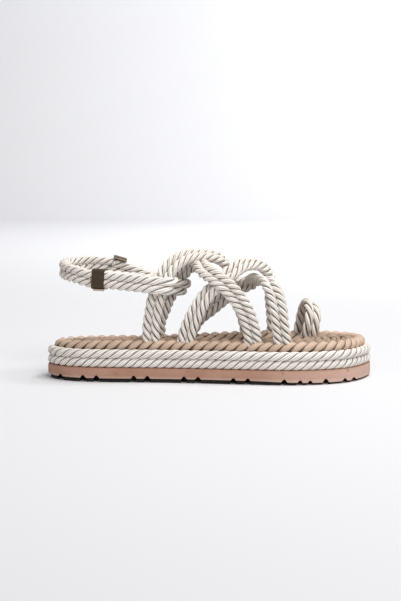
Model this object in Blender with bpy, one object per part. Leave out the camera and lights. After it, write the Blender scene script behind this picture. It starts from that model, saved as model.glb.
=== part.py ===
"""Rope sandal for the right foot: foam outsole, wound rope welt, coiled rope footbed,
crossed double-rope straps, toe loop and sling-back heel strap with two folded clips.

+X points to the toe, +Y to the inner (big toe) side and +Z up; the floor is z = 0.
Sizes are in millimetres and the meshes in metres.
"""
import math

import bmesh
import bpy
import numpy as np
from mathutils import Matrix, Vector

MM = 0.001
GAP = 0.3

# Heights of the platform's layers above the floor.
TREAD_TOP = 2.0
RIM_TOP = 11.0
CORE_TOP = 22.6
BED_TOP = 31.0

# Bevels of the rim's lower and upper edges and of the footbed's edge.
RIM_BEVEL = 1.2
RIM_EDGE = 0.5
BED_BEVEL = 1.2

# How much lower the footbed lies at the heel and along its inner side, and how far its rope is
# drawn in for each unit that it drops.
BED_DROP = 1.5
DRAWN_IN = 0.75

# Rope diameters.
WELT_ROPE = 6.5
EDGE_ROPE = 8.4
STRAP_ROPE = 6.8
TOE_ROPE = 6.6

# How far each layer lies inside the sole's outline.
TREAD_INSET = 3.0
WELT_INSET = 3.3
CORE_INSET = 7.0
EDGE_INSET = 8.6
COIL_INSET = 13.2
COIL_PITCH = 8.2

# Length of one full turn of each rope's strands.
WELT_LAY = 24.5
EDGE_LAY = 26.0
STATIONS_PER_TURN = 5

# The hollows between a rope's three strands, as a share of its radius, and the distance between
# the middles of two ropes side by side, in rope diameters.
HOLLOW = 0.82
SPREAD = 1.06

# Sole outline: columns are x, outer (lateral) y and inner (medial) y.
HEEL_TIP = (-125.0, -0.5)
TOE_TIP = (125.0, 10.0)
SOLE_STATIONS = [
    (-118.0, -15.0, 14.0),
    (-104.0, -24.5, 22.5),
    (-82.0, -29.5, 27.0),
    (-48.0, -31.5, 29.0),
    (-12.0, -35.0, 34.0),
    (26.0, -41.0, 43.0),
    (58.0, -44.5, 47.5),
    (84.0, -40.5, 45.5),
    (104.0, -30.5, 38.5),
    (118.0, -12.0, 27.0),
]

# Transverse V grooves of the underside, in pairs along the shank and closer under the toes: x and
# height of the top. The bars that cut them start below the floor and reach past both sides.
GROOVES = [
    (-113.7, 5.0), (-96.0, 5.0), (-85.7, 5.0), (-57.5, 5.0), (-47.3, 5.0), (-19.7, 5.0), (-9.2, 5.0),
    (17.1, 5.0), (27.8, 5.0), (54.7, 4.8), (66.6, 4.0), (74.1, 3.7), (86.0, 4.6), (101.0, 3.9),
    (108.4, 3.6),
]
GROOVE_SLOPE = 0.77
GROOVE_START = -0.3
GROOVE_REACH = 60.0

# V-shaped seams between the footbed's turns: distance inside the outline, x that the turn reaches
# back to and points round it. The heel has one straight seam.
COIL_SEAMS = {
    "seam_second_turn": (21.0, -130.0, 46),
    "seam_third_turn": (29.2, -20.0, 24),
    "seam_fourth_turn": (37.4, 0.0, 14),
}
HEEL_SEAM = [(-98.0, -1.0), (-70.0, -1.2), (-45.0, -1.0), (-24.0, -0.4)]
SEAM_HALF_WIDTH = 1.7
SEAM_DEPTH = 2.0
SEAM_RISE = 0.1

# Instep form that the straps lie on: x, half width at the footbed, half width of the belly,
# centre y and height over the footbed.
INSTEP_STATIONS = [
    (-70.0, 17.0, 23.0, -1.2, 62.0),
    (-44.0, 17.7, 23.0, -1.1, 64.0),
    (-17.0, 21.1, 25.5, -0.6, 62.0),
    (8.0, 25.5, 28.5, 0.2, 59.0),
    (31.0, 29.8, 32.0, 1.0, 54.0),
    (52.0, 32.9, 34.5, 1.3, 48.0),
    (75.0, 33.5, 35.0, 2.0, 42.0),
]
INSTEP_SQUARENESS = 2.3
TUCK_SHARPNESS = 10

# Each strap's way over the instep: x, angle round the form (-90 at the outer edge of the footbed,
# 0 on top, 90 at the inner edge), height of the rope's middle over the form and how many degrees
# the band is turned from lying flat on it.
STRAP_ROUTES = {
    "rear_outer": [
        (-44.5, -90.0, 3.4, 0.0), (-44.5, -84.0, 3.4, 0.0), (-43.0, -76.0, 3.4, 0.0),
        (-41.0, -66.0, 3.4, 0.0), (-37.5, -56.0, 3.4, 0.0), (-33.5, -44.0, 3.4, 0.0),
        (-27.5, -32.0, 3.4, 0.0), (-18.5, -18.0, 3.4, 4.0), (-9.0, -4.0, 2.4, 16.0),
        (0.8, 6.0, 2.4, 36.0), (8.6, 18.0, 2.6, 60.0), (14.0, 35.0, 3.4, 68.0),
        (18.0, 54.0, 6.2, 50.0), (22.3, 69.0, 8.0, 16.0), (28.0, 80.0, 4.8, 0.0),
        (31.0, 90.0, 3.4, 0.0),
    ],
    "rear_inner": [
        (-18.5, -90.0, 3.4, 0.0), (-16.5, -85.0, 3.4, 0.0), (-12.5, -77.0, 3.4, -10.0),
        (-8.0, -69.0, 3.4, -28.0), (-3.2, -61.0, 3.4, -40.0), (1.8, -54.0, 3.2, -42.0),
        (9.8, -44.0, 3.2, -28.0), (16.5, -34.0, 3.4, -8.0), (24.0, -19.0, 3.4, 0.0),
        (34.0, -2.0, 3.0, 10.0), (40.6, 8.0, 2.4, 36.0), (45.8, 22.0, 1.8, 60.0),
        (48.8, 40.0, 2.2, 58.0), (50.6, 64.0, 3.4, 20.0), (52.0, 80.0, 3.4, 0.0),
        (52.5, 90.0, 3.4, 0.0),
    ],
    "front_outer": [
        (32.0, -90.0, 3.4, 0.0), (30.8, -83.5, 3.4, 0.0), (28.0, -74.5, 3.8, 0.0),
        (23.8, -66.5, 5.2, 0.0), (18.0, -60.0, 7.6, 0.0), (11.3, -54.0, 9.2, 0.0),
        (3.6, -48.0, 8.6, 0.0), (-4.0, -37.0, 3.6, 0.0), (-8.0, -14.0, -2.2, 0.0),
        (-10.0, 10.0, -2.6, 0.0), (-12.5, 31.0, 2.0, 0.0), (-18.0, 40.0, 3.4, 0.0),
        (-24.0, 50.0, 3.4, 0.0), (-29.5, 61.0, 3.4, 0.0), (-34.5, 70.0, 3.4, 0.0),
        (-37.5, 76.5, 3.4, 0.0), (-41.0, 84.0, 3.4, 0.0), (-41.5, 90.0, 3.4, 0.0),
    ],
    "front_inner": [
        (54.0, -90.0, 3.4, 0.0), (52.7, -82.0, 3.4, 0.0), (51.5, -72.0, 3.4, 0.0),
        (50.5, -62.0, 3.4, 0.0), (48.5, -51.0, 3.4, 0.0), (45.5, -41.0, 2.8, 0.0),
        (43.0, -27.0, -1.4, 0.0), (40.0, -4.0, -7.6, 0.0), (36.0, 24.0, -5.4, 0.0),
        (32.0, 47.0, 1.4, 0.0), (24.0, 55.0, 3.0, 0.0), (10.5, 67.0, 3.2, 0.0),
        (0.5, 75.0, 3.4, 0.0), (-9.5, 82.0, 3.4, 0.0), (-17.0, 90.0, 3.4, 0.0),
    ],
}
STRAP_SECTIONS = 22
FOOT_DEPTH = 3.5
POCKET_DEPTH = 3.8
POCKET_CLEARANCE = 0.45
POCKET_REACH = 4.0

# Toe loop for the big toe, from its foot in the coil to its foot in the edge rope: x, y, z.
TOE_ROUTE = [
    (77.0, 7.0, 31.0), (78.6, 5.4, 38.0), (80.0, 7.0, 45.5), (80.0, 12.5, 51.6),
    (79.2, 21.5, 54.0), (77.6, 30.0, 51.0), (76.0, 35.4, 44.5), (74.8, 36.8, 37.5), (73.6, 36.2, 31.0),
]
TOE_MIDDLE = (78.0, 21.5, 40.0)
TOE_SECTIONS = 13

# Heel strap: one rope doubled, its two runs one above the other. From its inner end in the outer
# clip round the rear outer strap, round the heel and round the front strap's inner end, back to
# the inner clip. Columns: x, y, z, lean of the pair in x and in y for each unit of height.
SLING_ROUTE = [
    (-89.2, -19.3, 78.0, 0.0, 0.0),
    (-78.0, -20.9, 77.4, 0.0, 0.0),
    (-51.0, -17.4, 74.7, 0.22, 0.10),
    (-41.5, -15.3, 73.5, 0.36, 0.16),
    (-33.0, -15.5, 72.9, 0.38, 0.17),
    (-27.2, -17.6, 72.8, 0.42, 0.20),
    (-25.0, -22.9, 72.8, 0.42, 0.20),
    (-27.2, -28.3, 72.8, 0.42, 0.20),
    (-33.0, -30.3, 72.9, 0.38, 0.17),
    (-41.5, -31.0, 73.6, 0.36, 0.16),
    (-52.0, -30.7, 74.8, 0.22, 0.08),
    (-78.0, -28.1, 77.4, 0.0, 0.0),
    (-89.2, -26.5, 78.0, 0.0, 0.0),
    (-98.0, -22.8, 80.6, 0.0, 0.0),
    (-107.0, -13.0, 82.4, 0.0, 0.0),
    (-110.4, 0.0, 83.6, 0.0, 0.0),
    (-107.2, 13.0, 84.8, 0.0, -0.05),
    (-98.0, 22.6, 85.4, 0.0, -0.10),
    (-87.0, 26.6, 84.4, 0.0, -0.14),
    (-77.0, 28.4, 82.6, 0.0, -0.14),
    (-65.8, 29.4, 79.3, 0.0, -0.14),
    (-40.0, 30.4, 71.4, 0.52, -0.05),
    (-32.0, 30.0, 69.3, 0.56, -0.05),
    (-24.6, 29.6, 67.8, 0.56, -0.05),
    (-19.2, 27.6, 67.4, 0.60, -0.08),
    (-16.9, 22.3, 67.3, 0.60, -0.08),
    (-19.2, 17.1, 67.3, 0.60, -0.08),
    (-24.6, 15.1, 67.6, 0.56, -0.05),
    (-32.0, 14.6, 68.9, 0.56, -0.05),
    (-40.0, 15.2, 71.0, 0.52, -0.05),
    (-65.8, 22.2, 79.3, 0.0, -0.14),
    (-77.0, 21.2, 82.6, 0.0, -0.14),
]

# Folded metal clips: middle of the clip, direction of the ropes through it, lean of its top toward
# -Y in degrees and the side that its face looks to.
CLIPS = {
    "clip_lateral": ((-83.6, -23.7, 77.7), (1.0, -0.14, -0.05), 0.0, -1),
    "clip_medial": ((-71.4, 25.3, 80.95), (1.0, 0.09, -0.29), 8.0, 1),
}
CLIP_LENGTH = 9.4
CLIP_WALL = 0.8
CLIP_CORNER = 2.2
CLIP_LIP = 0.6
LAP_WALL = 1.4
LAP_HEIGHT = 1.9
LAP_OFFSET = 0.9

# Edges sharper than this stay sharp in the shading.
SHARP_ANGLE = 38.0

# Colour, roughness and metallic value of each material.
FINISHES = {
    "foam_rubber": ((0.52, 0.33, 0.25), 0.75, 0.0),
    "white_rope": ((0.74, 0.69, 0.60), 0.85, 0.0),
    "tan_rope": ((0.52, 0.37, 0.26), 0.60, 0.0),
    "bronze": ((0.10, 0.07, 0.05), 0.42, 1.0),
}


def clear_scene():
    for item in list(bpy.data.objects):
        bpy.data.objects.remove(item, do_unlink=True)


def make_collection(name):
    collection = bpy.data.collections.new(name)
    bpy.context.scene.collection.children.link(collection)
    return collection


def make_material(name):
    colour, roughness, metallic = FINISHES[name]
    material = bpy.data.materials.new(name)
    material.use_nodes = True
    shader = material.node_tree.nodes["Principled BSDF"]
    shader.inputs["Base Color"].default_value = (*colour, 1.0)
    shader.inputs["Roughness"].default_value = roughness
    shader.inputs["Metallic"].default_value = metallic
    return material


def read_table(rows, x, column):
    """One column of a table at x, on a smooth curve through its rows."""
    xs = np.array([row[0] for row in rows])
    ys = np.array([row[column] for row in rows])
    slopes = np.gradient(ys, xs)
    i = int(np.clip(np.searchsorted(xs, x) - 1, 0, len(xs) - 2))
    span = xs[i + 1] - xs[i]
    t = float(np.clip((x - xs[i]) / span, 0.0, 1.0))
    start = (1 + 2 * t) * (1 - t) ** 2 * ys[i] + t * (1 - t) ** 2 * span * slopes[i]
    end = t * t * (3 - 2 * t) * ys[i + 1] + t * t * (t - 1) * span * slopes[i + 1]
    return start + end


def spline(points, per_span, closed):
    """Points on a smooth curve through the given ones (centripetal Catmull-Rom)."""
    points = np.asarray(points, float)
    count = len(points)
    if closed:
        knots = np.vstack([points[-1:], points, points[:2]])
        spans = count
    else:
        first = 2 * points[0] - points[1]
        last = 2 * points[-1] - points[-2]
        knots = np.vstack([first, points, last])
        spans = count - 1
    result = []
    for i in range(spans):
        p0, p1, p2, p3 = knots[i:i + 4]
        t1 = np.linalg.norm(p1 - p0) ** 0.5
        t2 = t1 + np.linalg.norm(p2 - p1) ** 0.5
        t3 = t2 + np.linalg.norm(p3 - p2) ** 0.5
        for t in np.linspace(t1, t2, per_span, endpoint=False):
            a1 = (t1 - t) / t1 * p0 + t / t1 * p1
            a2 = (t2 - t) / (t2 - t1) * p1 + (t - t1) / (t2 - t1) * p2
            a3 = (t3 - t) / (t3 - t2) * p2 + (t - t2) / (t3 - t2) * p3
            b1 = (t2 - t) / t2 * a1 + t / t2 * a2
            b2 = (t3 - t) / (t3 - t1) * a2 + (t - t1) / (t3 - t1) * a3
            result.append((t2 - t) / (t2 - t1) * b1 + (t - t1) / (t2 - t1) * b2)
    if not closed:
        result.append(points[-1])
    return np.array(result)


def even_points(points, count, closed):
    """The same curve cut into equal steps."""
    line = np.vstack([points, points[:1]]) if closed else points
    steps = np.linalg.norm(np.diff(line[:, :3], axis=0), axis=1)
    along = np.concatenate([[0.0], np.cumsum(steps)])
    wanted = np.linspace(0.0, along[-1], count, endpoint=not closed)
    return np.column_stack([np.interp(wanted, along, line[:, k]) for k in range(line.shape[1])])


def sole_outline(per_span):
    """Closed outline of the sole, anticlockwise from the heel's tip along the outer side."""
    outer = [(x, outer_y) for x, outer_y, inner_y in SOLE_STATIONS]
    inner = [(x, inner_y) for x, outer_y, inner_y in reversed(SOLE_STATIONS)]
    return spline([HEEL_TIP] + outer + [TOE_TIP] + inner, per_span, closed=True)


def ease(value, start, end):
    t = min(max((value - start) / (end - start), 0.0), 1.0)
    return t * t * (3 - 2 * t)


def bed_drop(x, y):
    """How much lower the footbed lies behind the heel and along its inner side."""
    behind = BED_DROP * ease(x, -70.0, -115.0)
    inner = BED_DROP * ease(x, 30.0, -60.0) * ease(y, -12.0, 16.0)
    return max(behind, inner)


def inset_loop(loop, inset, follow_bed=False):
    """A closed outline moved inward; a loop that follows the bed moves further where it drops."""
    ahead = np.roll(loop, -1, axis=0)
    behind = np.roll(loop, 1, axis=0)
    along = ahead - behind
    along /= np.linalg.norm(along, axis=1)[:, None]
    inward = np.column_stack([-along[:, 1], along[:, 0]])
    moved = loop + inward * inset
    if follow_bed:
        extra = np.array([DRAWN_IN * bed_drop(x, y) for x, y in moved])
        moved = moved + inward * extra[:, None]
    return moved


def add_mesh(name, bm, material, collection):
    """Close a bmesh off as a named object, in metres and with its faces outward."""
    bmesh.ops.scale(bm, vec=(MM, MM, MM), verts=bm.verts)
    bmesh.ops.recalc_face_normals(bm, faces=bm.faces)
    mesh = bpy.data.meshes.new(name)
    bm.to_mesh(mesh)
    bm.free()
    item = bpy.data.objects.new(name, mesh)
    collection.objects.link(item)
    if material:
        mesh.materials.append(material)
    mesh.shade_smooth()
    mesh.set_sharp_from_angle(angle=math.radians(SHARP_ANGLE))
    return item


def loft(bm, rings, closed):
    """Skin between rings of equal count; an open loft gets flat ends."""
    layers = [[bm.verts.new(point) for point in ring] for ring in rings]
    count = len(layers[0])
    spans = len(layers) if closed else len(layers) - 1
    for i in range(spans):
        low, high = layers[i], layers[(i + 1) % len(layers)]
        for k in range(count):
            bm.faces.new((low[k], low[(k + 1) % count], high[(k + 1) % count], high[k]))
    return layers


def cap_across(bm, ring):
    """Fill a sole-shaped ring with strips from side to side, heel to toe."""
    count = len(ring)
    half = count // 2
    bm.faces.new((ring[0], ring[1], ring[count - 1]))
    for i in range(1, half - 1):
        bm.faces.new((ring[i], ring[i + 1], ring[count - i - 1], ring[count - i]))
    bm.faces.new((ring[half - 1], ring[half], ring[half + 1]))


def stacked_sole(name, steps, material, collection):
    """A solid of the sole's outline; each step is an inset, a height and whether it follows the bed."""
    outline = sole_outline(3)
    rings = []
    for inset, height, follow in steps:
        loop = inset_loop(outline, inset, follow)
        rings.append([(x, y, height - (bed_drop(x, y) if follow else 0.0)) for x, y in loop])
    bm = bmesh.new()
    layers = loft(bm, rings, closed=False)
    cap_across(bm, layers[0])
    cap_across(bm, layers[-1])
    return add_mesh(name, bm, material, collection)


def combine(item, other, operation):
    modifier = item.modifiers.new(other.name, "BOOLEAN")
    modifier.operation = operation
    modifier.solver = "EXACT"
    modifier.object = other


def cut(item, cutter):
    combine(item, cutter, "DIFFERENCE")


def join(item, other):
    combine(item, other, "UNION")


def make_cutter(name, bm, collection):
    cutter = add_mesh(name, bm, None, collection)
    cutter.hide_render = True
    cutter.display_type = "WIRE"
    return cutter


def groove_cutter(collection):
    """Triangular bars across the sole, points up."""
    bm = bmesh.new()
    for x, top in GROOVES:
        half = (top - GROOVE_START) * GROOVE_SLOPE
        ends = []
        for y in (-GROOVE_REACH, GROOVE_REACH):
            ends.append([(x - half, y, GROOVE_START), (x, y, top), (x + half, y, GROOVE_START)])
        layers = loft(bm, ends, closed=False)
        bm.faces.new(layers[0])
        bm.faces.new(layers[-1])
    return make_cutter("tread_grooves", bm, collection)


def rope_ring(name, inset, height, diameter, lay, follow_bed, material, collection):
    """Three-strand rope laid round the sole: a three-lobed section turned along its length."""
    path = inset_loop(sole_outline(12), inset, follow_bed)
    length = np.linalg.norm(np.roll(path, -1, axis=0) - path, axis=1).sum()
    thirds = round(3 * length / lay)
    count = round(thirds / 3 * STATIONS_PER_TURN)
    path = even_points(path, count, closed=True)
    rings = []
    for i, (x, y) in enumerate(path):
        along = path[(i + 1) % count] - path[i - 1]
        along /= np.linalg.norm(along)
        outward = Vector((along[1], -along[0], 0.0))
        up = Vector((0.0, 0.0, 1.0))
        centre = Vector((x, y, height - (bed_drop(x, y) if follow_bed else 0.0)))
        turned = 2 * math.pi * thirds / 3 * i / count
        ring = []
        for k in range(6):
            radius = diameter / 2 * (1.0 if k % 2 == 0 else HOLLOW)
            angle = turned + k * math.pi / 3
            ring.append(centre + radius * (math.cos(angle) * outward + math.sin(angle) * up))
        rings.append(ring)
    bm = bmesh.new()
    layers = loft(bm, rings, closed=False)
    close_twisted_ring(bm, layers[-1], layers[0], thirds)
    return add_mesh(name, bm, material, collection)


def close_twisted_ring(bm, last, first, thirds):
    """Join the ring's end to its start, where the lobes have moved on by whole strands."""
    shift = (2 * thirds) % 6
    for k in range(6):
        low, low_next = last[k], last[(k + 1) % 6]
        high, high_next = first[(k + shift) % 6], first[(k + 1 + shift) % 6]
        bm.faces.new((low, low_next, high_next, high))


def pair_section(centre, along, across, rope, grow=0.0):
    """Section of two ropes side by side: two lobes with a waist between them."""
    across = (across - along * across.dot(along)).normalized()
    outward = along.cross(across)
    radius = rope / 2
    points = []
    for side in (1, -1):
        middle = centre + side * SPREAD * radius * across
        for degrees in range(-150, 151, 60):
            angle = math.radians(degrees)
            spoke = math.cos(angle) * side * across + math.sin(angle) * side * outward
            points.append(middle + (radius + grow) * spoke)
    return points


def pair_of_ropes(bm, path, widths, rope):
    """Two ropes side by side along a path; widths point from one rope to the other."""
    rings = []
    for i, centre in enumerate(path):
        before = path[max(i - 1, 0)]
        after = path[min(i + 1, len(path) - 1)]
        rings.append(pair_section(centre, (after - before).normalized(), widths[i], rope))
    layers = loft(bm, rings, closed=False)
    bm.faces.new(reversed(layers[0]))
    bm.faces.new(layers[-1])


def instep_point(x, degrees, lift):
    """A point over the instep form."""
    base, belly, centre, height = (read_table(INSTEP_STATIONS, x, column) for column in (1, 2, 3, 4))
    sine = math.sin(math.radians(degrees))
    cosine = math.cos(math.radians(degrees))
    half = belly - (belly - base) * abs(sine) ** TUCK_SHARPNESS
    power = 2 / INSTEP_SQUARENESS
    y = centre + (half + lift) * math.copysign(abs(sine) ** power, sine)
    z = BED_TOP + (height + lift) * max(cosine, 0.0) ** power
    return Vector((x, y, z))


def instep_outward(x, degrees):
    """Direction away from the instep form."""
    here = min(max(degrees, -86.0), 86.0)
    round_it = instep_point(x, here + 2.0, 0.0) - instep_point(x, here - 2.0, 0.0)
    forward = instep_point(x + 1.0, here, 0.0) - instep_point(x - 1.0, here, 0.0)
    outward = forward.cross(round_it).normalized()
    away = instep_point(x, here, 1.0) - instep_point(x, here, 0.0)
    return outward if outward.dot(away) > 0 else -outward


def strap_line(route):
    """Even points along a strap and the directions across it, with straight feet at both ends."""
    rows = []
    for x, degrees, lift, turn in route:
        point = instep_point(x, degrees, lift)
        outward = instep_outward(x, degrees)
        if abs(degrees) == 90.0:
            outward = Vector((0.0, math.copysign(1.0, degrees), 0.0))
        rows.append((*point, *outward, math.radians(turn)))
    curve = even_points(spline(rows, 12, closed=False), STRAP_SECTIONS, closed=False)
    path = [Vector(row[:3]) for row in curve]
    path, widths = add_feet(path, [Vector(row[3:6]) for row in curve])
    turns = [0.0] + [row[6] for row in curve] + [0.0]
    for i in range(1, len(path) - 1):
        axis = path[i + 1] - path[i - 1]
        widths[i] = Matrix.Rotation(turns[i], 3, axis) @ widths[i]
    return path, widths


def add_feet(path, outwards):
    """Lengthen a strap's ends straight down into the footbed and give the directions across it."""
    down = Vector((0.0, 0.0, FOOT_DEPTH))
    path = [path[0] - down] + path + [path[-1] - down]
    outwards = [outwards[0]] + outwards + [outwards[-1]]
    widths = []
    for i, outward in enumerate(outwards):
        before = path[max(i - 1, 0)]
        after = path[min(i + 1, len(path) - 1)]
        widths.append(outward.cross((after - before).normalized()))
    return path, widths


def toe_line():
    curve = even_points(spline(TOE_ROUTE, 12, closed=False), TOE_SECTIONS, closed=False)
    path = [Vector(row) for row in curve]
    outwards = [(point - Vector(TOE_MIDDLE)).normalized() for point in path]
    outwards[0] = Vector((0.0, -1.0, 0.0))
    outwards[-1] = Vector((0.0, 1.0, 0.0))
    return add_feet(path, outwards)


def pockets_cutter(lines, collection):
    """Sockets in the footbed for every strap foot, a clearance larger than the foot."""
    bm = bmesh.new()
    for path, widths, rope in lines:
        for end in (0, -1):
            foot = path[end]
            base = Vector((foot.x, foot.y, foot.z - (POCKET_DEPTH - FOOT_DEPTH)))
            top = Vector((foot.x, foot.y, BED_TOP + POCKET_REACH))
            up = Vector((0.0, 0.0, 1.0))
            across = widths[end] if end == 0 else -widths[end]
            rings = []
            for point in (base, top):
                rings.append(pair_section(point, up, across, rope, POCKET_CLEARANCE))
            layers = loft(bm, rings, closed=False)
            bm.faces.new(reversed(layers[0]))
            bm.faces.new(layers[-1])
    return make_cutter("strap_pockets", bm, collection)


def turn_inside(inset, from_x, count):
    """A turn of the coil inside the sole's outline, without the points that cross over in narrow
    places and those behind from_x."""
    outline = sole_outline(12)
    kept = []
    for point in inset_loop(outline, inset):
        clear = np.linalg.norm(outline - point, axis=1).min() > inset - GAP
        if clear and point[0] > from_x:
            kept.append(point)
    loop = np.array(kept)
    for _ in range(6):
        loop = (np.roll(loop, 1, axis=0) + 2 * loop + np.roll(loop, -1, axis=0)) / 4
    return even_points(loop, count, closed=True)


def coil_seams(collection):
    """The seams between the footbed's turns, cut by four-sided rings and one straight bar."""
    cutters = []
    for name, (inset, from_x, count) in COIL_SEAMS.items():
        bm = bmesh.new()
        loft(bm, seam_rings(turn_inside(inset, from_x, count), closed=True), closed=True)
        cutters.append(make_cutter(name, bm, collection))
    bm = bmesh.new()
    layers = loft(bm, seam_rings(np.array(HEEL_SEAM), closed=False), closed=False)
    bm.faces.new(reversed(layers[0]))
    bm.faces.new(layers[-1])
    cutters.append(make_cutter("seam_heel", bm, collection))
    return cutters


def seam_rings(line, closed):
    """Diamond sections along a seam."""
    count = len(line)
    rings = []
    for i, (x, y) in enumerate(line):
        ahead = line[(i + 1) % count] if closed else line[min(i + 1, count - 1)]
        behind = line[i - 1] if closed else line[max(i - 1, 0)]
        along = (ahead - behind) / np.linalg.norm(ahead - behind)
        side = np.array([along[1], -along[0]]) * SEAM_HALF_WIDTH
        top = BED_TOP - bed_drop(x, y)
        rings.append([
            (x + side[0], y + side[1], top + SEAM_RISE),
            (x, y, top + SEAM_DEPTH),
            (x - side[0], y - side[1], top + SEAM_RISE),
            (x, y, top - SEAM_DEPTH),
        ])
    return rings


def footbed_coil(material, collection, cutters, pockets):
    steps = [
        (COIL_INSET, CORE_TOP + GAP, True),
        (COIL_INSET, BED_TOP - BED_BEVEL, True),
        (COIL_INSET + BED_BEVEL, BED_TOP, True),
    ]
    coil = stacked_sole("insole_coil", steps, material, collection)
    for cutter in coil_seams(cutters):
        cut(coil, cutter)
    cut(coil, pockets)


def outsole(material, collection, cutters):
    steps = [
        (TREAD_INSET, 0.0, False),
        (TREAD_INSET, TREAD_TOP, False),
        (RIM_BEVEL, TREAD_TOP, False),
        (0.0, TREAD_TOP + RIM_BEVEL, False),
        (0.0, RIM_TOP - RIM_EDGE, False),
        (RIM_EDGE, RIM_TOP, False),
        (CORE_INSET, RIM_TOP, False),
        (CORE_INSET, CORE_TOP, True),
    ]
    sole = stacked_sole("outsole", steps, material, collection)
    cut(sole, groove_cutter(cutters))


def upper_straps(lines, material, collection, cutters):
    """Four double-rope straps joined where they cross."""
    upper = None
    for name, (path, widths) in lines.items():
        bm = bmesh.new()
        pair_of_ropes(bm, path, widths, STRAP_ROPE)
        if upper is None:
            upper = add_mesh("upper_straps", bm, material, collection)
        else:
            join(upper, make_cutter(f"strap_{name}", bm, cutters))


def heel_strap(material, collection):
    curve = spline(SLING_ROUTE, 2, closed=False)
    path = [Vector(row[:3]) for row in curve]
    widths = [Vector((row[3], row[4], 1.0)) for row in curve]
    bm = bmesh.new()
    pair_of_ropes(bm, path, widths, STRAP_ROPE)
    return add_mesh("heel_strap", bm, material, collection)


def folded_line(half_y, half_z):
    """Middle line of the clip's sheet and its outward normals: lip, top, face, bottom, lip."""
    lip_end = half_z - CLIP_CORNER - CLIP_LIP
    line = [((-half_y, lip_end), (-1.0, 0.0))]
    for start, (side_y, side_z) in zip((180, 90, 0, -90), ((-1, 1), (1, 1), (1, -1), (-1, -1))):
        middle = (side_y * (half_y - CLIP_CORNER), side_z * (half_z - CLIP_CORNER))
        for step in range(4):
            angle = math.radians(start - 30 * step)
            normal = (math.cos(angle), math.sin(angle))
            point = (middle[0] + CLIP_CORNER * normal[0], middle[1] + CLIP_CORNER * normal[1])
            line.append((point, normal))
    line.append(((-half_y, -lip_end), (-1.0, 0.0)))
    return line


def clip(name, material, collection, cutters):
    """Sheet metal folded round both layers of the heel strap, its end lapped over the face's foot."""
    centre, along, lean, facing = CLIPS[name]
    half_y = (2 * STRAP_ROPE + 4 * GAP + CLIP_WALL) / 2
    half_z = ((1 + SPREAD) * STRAP_ROPE + GAP + CLIP_WALL) / 2
    bm = bmesh.new()
    rings = []
    for (y, z), (normal_y, normal_z) in folded_line(half_y, half_z):
        ring = []
        for side_x, side_n in ((-1, -1), (1, -1), (1, 1), (-1, 1)):
            shift = side_n * CLIP_WALL / 2
            across = facing * (y + shift * normal_y)
            ring.append((side_x * CLIP_LENGTH / 2, across, z + shift * normal_z))
        rings.append(ring)
    layers = loft(bm, rings, closed=False)
    bm.faces.new(layers[0])
    bm.faces.new(layers[-1])
    lap = bmesh.new()
    face_y = half_y + CLIP_WALL / 2
    place = Matrix.Translation((LAP_OFFSET, facing * face_y, LAP_HEIGHT - half_z - CLIP_WALL))
    size = Matrix.Diagonal((CLIP_LENGTH - 2 * LAP_OFFSET, LAP_WALL, LAP_HEIGHT, 1.0))
    bmesh.ops.create_cube(lap, size=1.0, matrix=place @ size)
    turn = Vector(along).normalized().to_track_quat("X", "Z").to_matrix().to_4x4()
    roll = Matrix.Rotation(math.radians(lean), 4, "X")
    for part in (bm, lap):
        bmesh.ops.transform(part, matrix=Matrix.Translation(centre) @ turn @ roll, verts=part.verts)
    sheet = add_mesh(name, bm, material, collection)
    join(sheet, make_cutter(f"{name}_lap", lap, cutters))


def build():
    clear_scene()
    sandal = make_collection("rope_sandal")
    cutters = make_collection("cutters")
    materials = {name: make_material(name) for name in FINISHES}
    white = materials["white_rope"]
    tan = materials["tan_rope"]

    straps = {name: strap_line(route) for name, route in STRAP_ROUTES.items()}
    toe_path, toe_widths = toe_line()
    feet = [(path, widths, STRAP_ROPE) for path, widths in straps.values()]
    feet.append((toe_path, toe_widths, TOE_ROPE))
    pockets = pockets_cutter(feet, cutters)

    outsole(materials["foam_rubber"], sandal, cutters)
    lower = RIM_TOP + GAP + WELT_ROPE / 2
    rope_ring("welt_rope_lower", WELT_INSET, lower, WELT_ROPE, WELT_LAY, False, white, sandal)
    upper = lower + WELT_ROPE + GAP
    rope_ring("welt_rope_upper", WELT_INSET, upper, WELT_ROPE, WELT_LAY, False, white, sandal)
    edge = CORE_TOP + GAP + EDGE_ROPE / 2
    ring = rope_ring("insole_edge_rope", EDGE_INSET, edge, EDGE_ROPE, EDGE_LAY, True, tan, sandal)
    cut(ring, pockets)
    footbed_coil(tan, sandal, cutters, pockets)

    upper_straps(straps, white, sandal, cutters)
    bm = bmesh.new()
    pair_of_ropes(bm, toe_path, toe_widths, TOE_ROPE)
    add_mesh("toe_loop", bm, white, sandal)
    heel_strap(white, sandal)
    for name in CLIPS:
        clip(name, materials["bronze"], sandal, cutters)


build()
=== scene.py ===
"""Rope sandal: the looks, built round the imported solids. Metres, +X toe, +Y inner side, +Z up."""

import math

import bmesh
import bpy
import numpy as np
from mathutils import Matrix, Vector


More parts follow.
